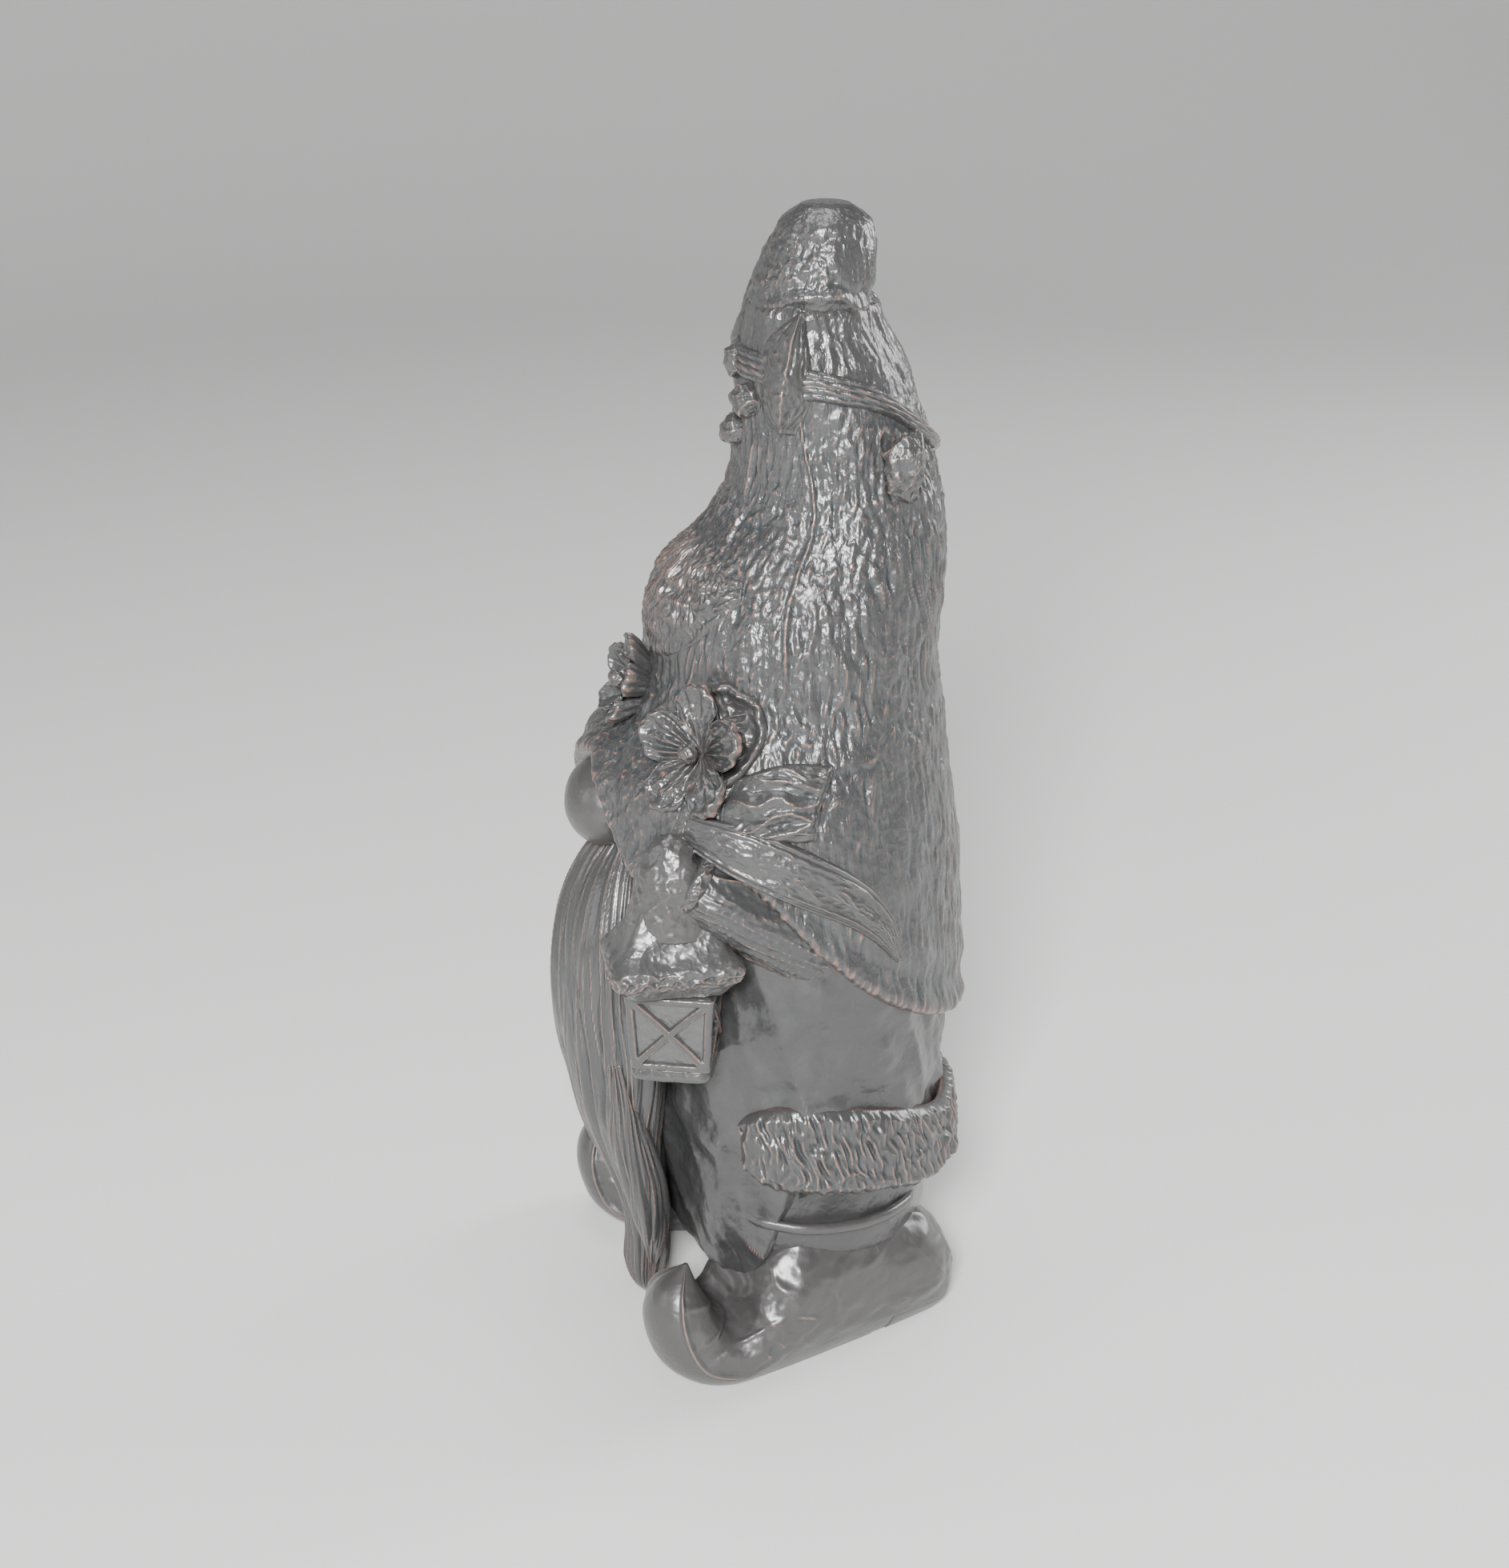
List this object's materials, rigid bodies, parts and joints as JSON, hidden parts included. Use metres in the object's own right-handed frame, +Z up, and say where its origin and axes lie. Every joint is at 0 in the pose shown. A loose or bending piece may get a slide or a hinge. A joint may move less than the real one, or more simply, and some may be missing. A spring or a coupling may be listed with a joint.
{
  "type": "garden gnome figure",
  "caption": "Cast garden gnome with a tall folded hat over its eyes, round nose, long beard, hat flowers, curled-toe boots and a small lantern at its left hand.",
  "frame": {"origin": "middle of the footprint at ground level, under the centre of the bounding box", "axes": "+Z up, the gnome faces -Y, and its own left hand with the lantern is on +X"},
  "size_m": [0.1214, 0.1194, 0.3192],
  "materials": {
    "hat": "satin grey cast resin with a fine felt grain",
    "coat": "satin grey cast resin, smooth with soft creases",
    "beard": "satin grey cast resin with strands of hair or fur",
    "skin": "satin grey cast resin, smooth",
    "boot": "satin grey cast resin with leather creases",
    "flower": "satin grey cast resin with fine veins",
    "lantern": "satin grey cast resin with rough edges",
    "pane": "satin grey cast resin, smooth"
  },
  "bodies": {
    "root": {"beard": "beard", "beard_lock_left": "beard", "beard_lock_right": "beard", "berry_lower": "flower", "berry_middle": "flower", "berry_upper": "flower", "coat_body": "coat", "flower_front_centre": "flower", "flower_front_petals": "flower", "flower_left_centre": "flower", "flower_left_petals": "flower", "fur_hem": "beard", "hat_cord": "hat", "hat_front_leaf": "flower", "hat_knot": "hat", "hat_shell": "hat", "hat_tip": "hat", "holly_leaf_left": "flower", "holly_leaf_right": "flower", "lantern_base": "lantern", "lantern_frame": "lantern", "lantern_pane_back": "pane", "lantern_pane_front": "pane", "lantern_pane_inner": "pane", "lantern_pane_outer": "pane", "lantern_roof": "lantern", "leaf_long": "flower", "leaf_round": "flower", "leaf_short": "flower", "left_boot_cuff": "boot", "left_boot_heel": "boot", "left_boot_sole": "boot", "left_boot_upper": "boot", "left_cuff": "beard", "left_mitten": "skin", "left_sleeve": "coat", "nose": "skin", "right_boot_cuff": "boot", "right_boot_heel": "boot", "right_boot_sole": "boot", "right_boot_upper": "boot", "right_cuff": "beard", "right_mitten": "skin", "right_sleeve": "coat", "trousers": "coat"}
  },
  "joints": []
}
